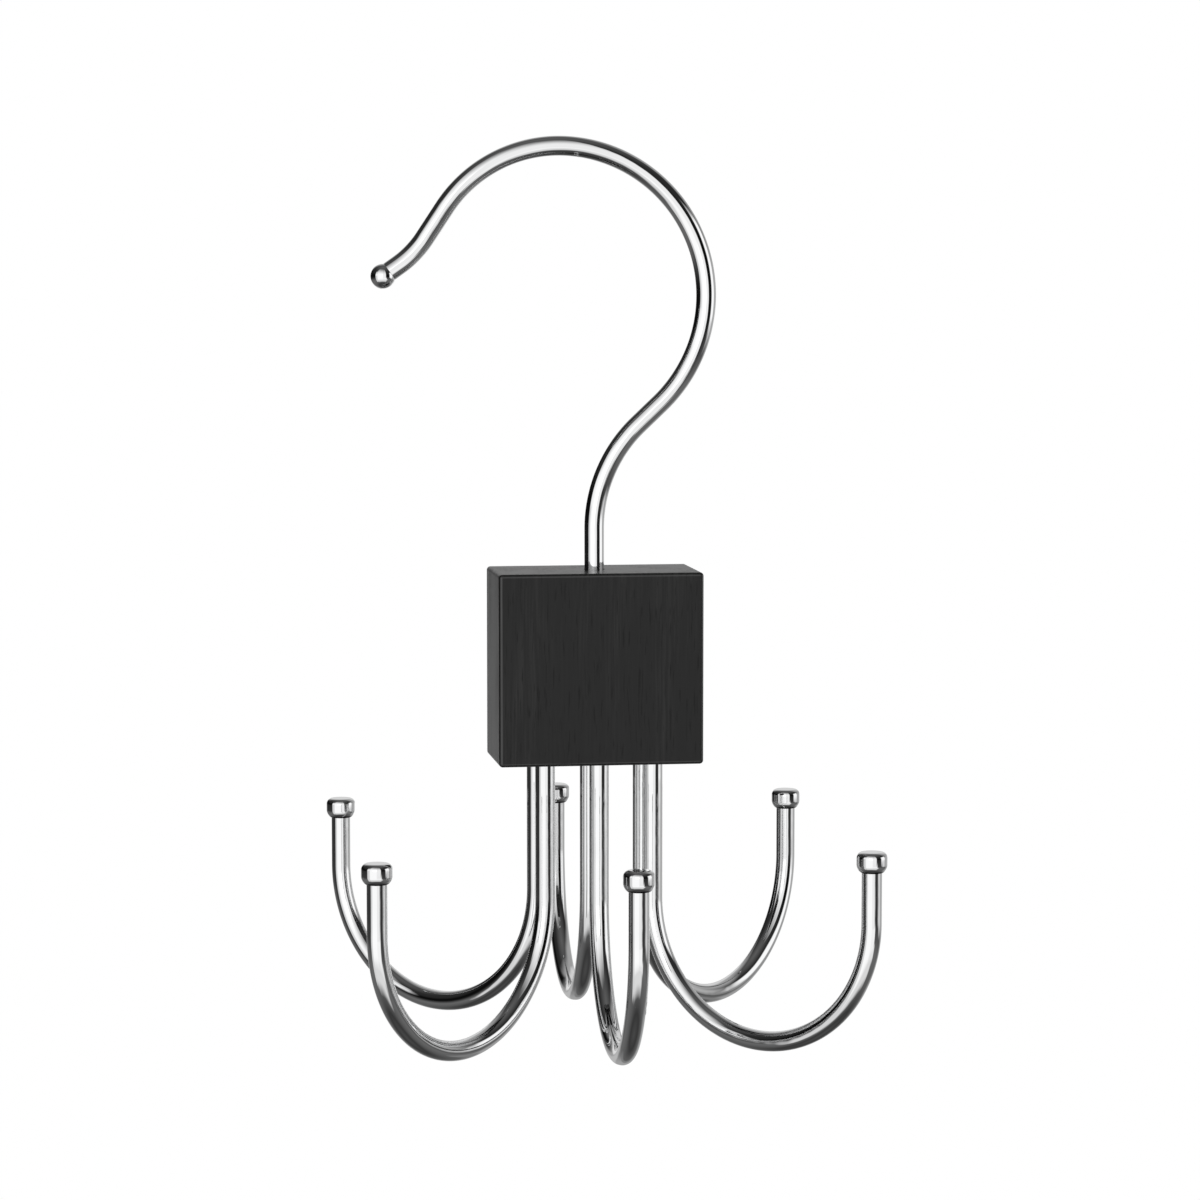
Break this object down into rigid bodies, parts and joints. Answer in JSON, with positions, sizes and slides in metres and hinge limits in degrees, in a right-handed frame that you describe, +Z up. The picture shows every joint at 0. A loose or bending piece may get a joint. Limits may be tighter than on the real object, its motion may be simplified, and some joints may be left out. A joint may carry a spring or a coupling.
{
  "type": "rotating belt hanger",
  "caption": "Chromed wire rail hook with a ball end that swivels in a black wooden block, below which capped wire J-hooks splay out to hang belts.",
  "frame": {"origin": "point under the crown of the rail hook where a closet rail bears", "axes": "+Z up and parallel to the swivel axis, +X across the block to the right seen from the front, front towards -Y"},
  "size_m": [0.1026, 0.1252, 0.182],
  "materials": {
    "chromed_wire": "bright plated",
    "chromed_cap": "bright plated",
    "black_wood": "black stain under satin lacquer, grain upright",
    "bush_brass": "drawn tube",
    "washer_zinc": "zinc plated"
  },
  "bodies": {
    "rail_hook_body": {"rail_hook": "chromed_wire"},
    "block_body": {"wood_block": "black_wood", "swivel_bush": "bush_brass", "thrust_washer": "washer_zinc", "belt_hook_left_front": "chromed_wire", "belt_hook_left_rear": "chromed_wire", "belt_hook_centre_front": "chromed_wire", "belt_hook_centre_rear": "chromed_wire", "belt_hook_right_front": "chromed_wire", "belt_hook_right_rear": "chromed_wire", "end_cap_left_front": "chromed_cap", "end_cap_left_rear": "chromed_cap", "end_cap_centre_front": "chromed_cap", "end_cap_centre_rear": "chromed_cap", "end_cap_right_front": "chromed_cap", "end_cap_right_rear": "chromed_cap"}
  },
  "joints": [
    {"name": "hook_swivel", "type": "hinge", "parent": "rail_hook_body", "child": "block_body", "pos_m": [0.00711, 0, -0.10276], "axis": [0, 0, 1], "continuous": true}
  ]
}
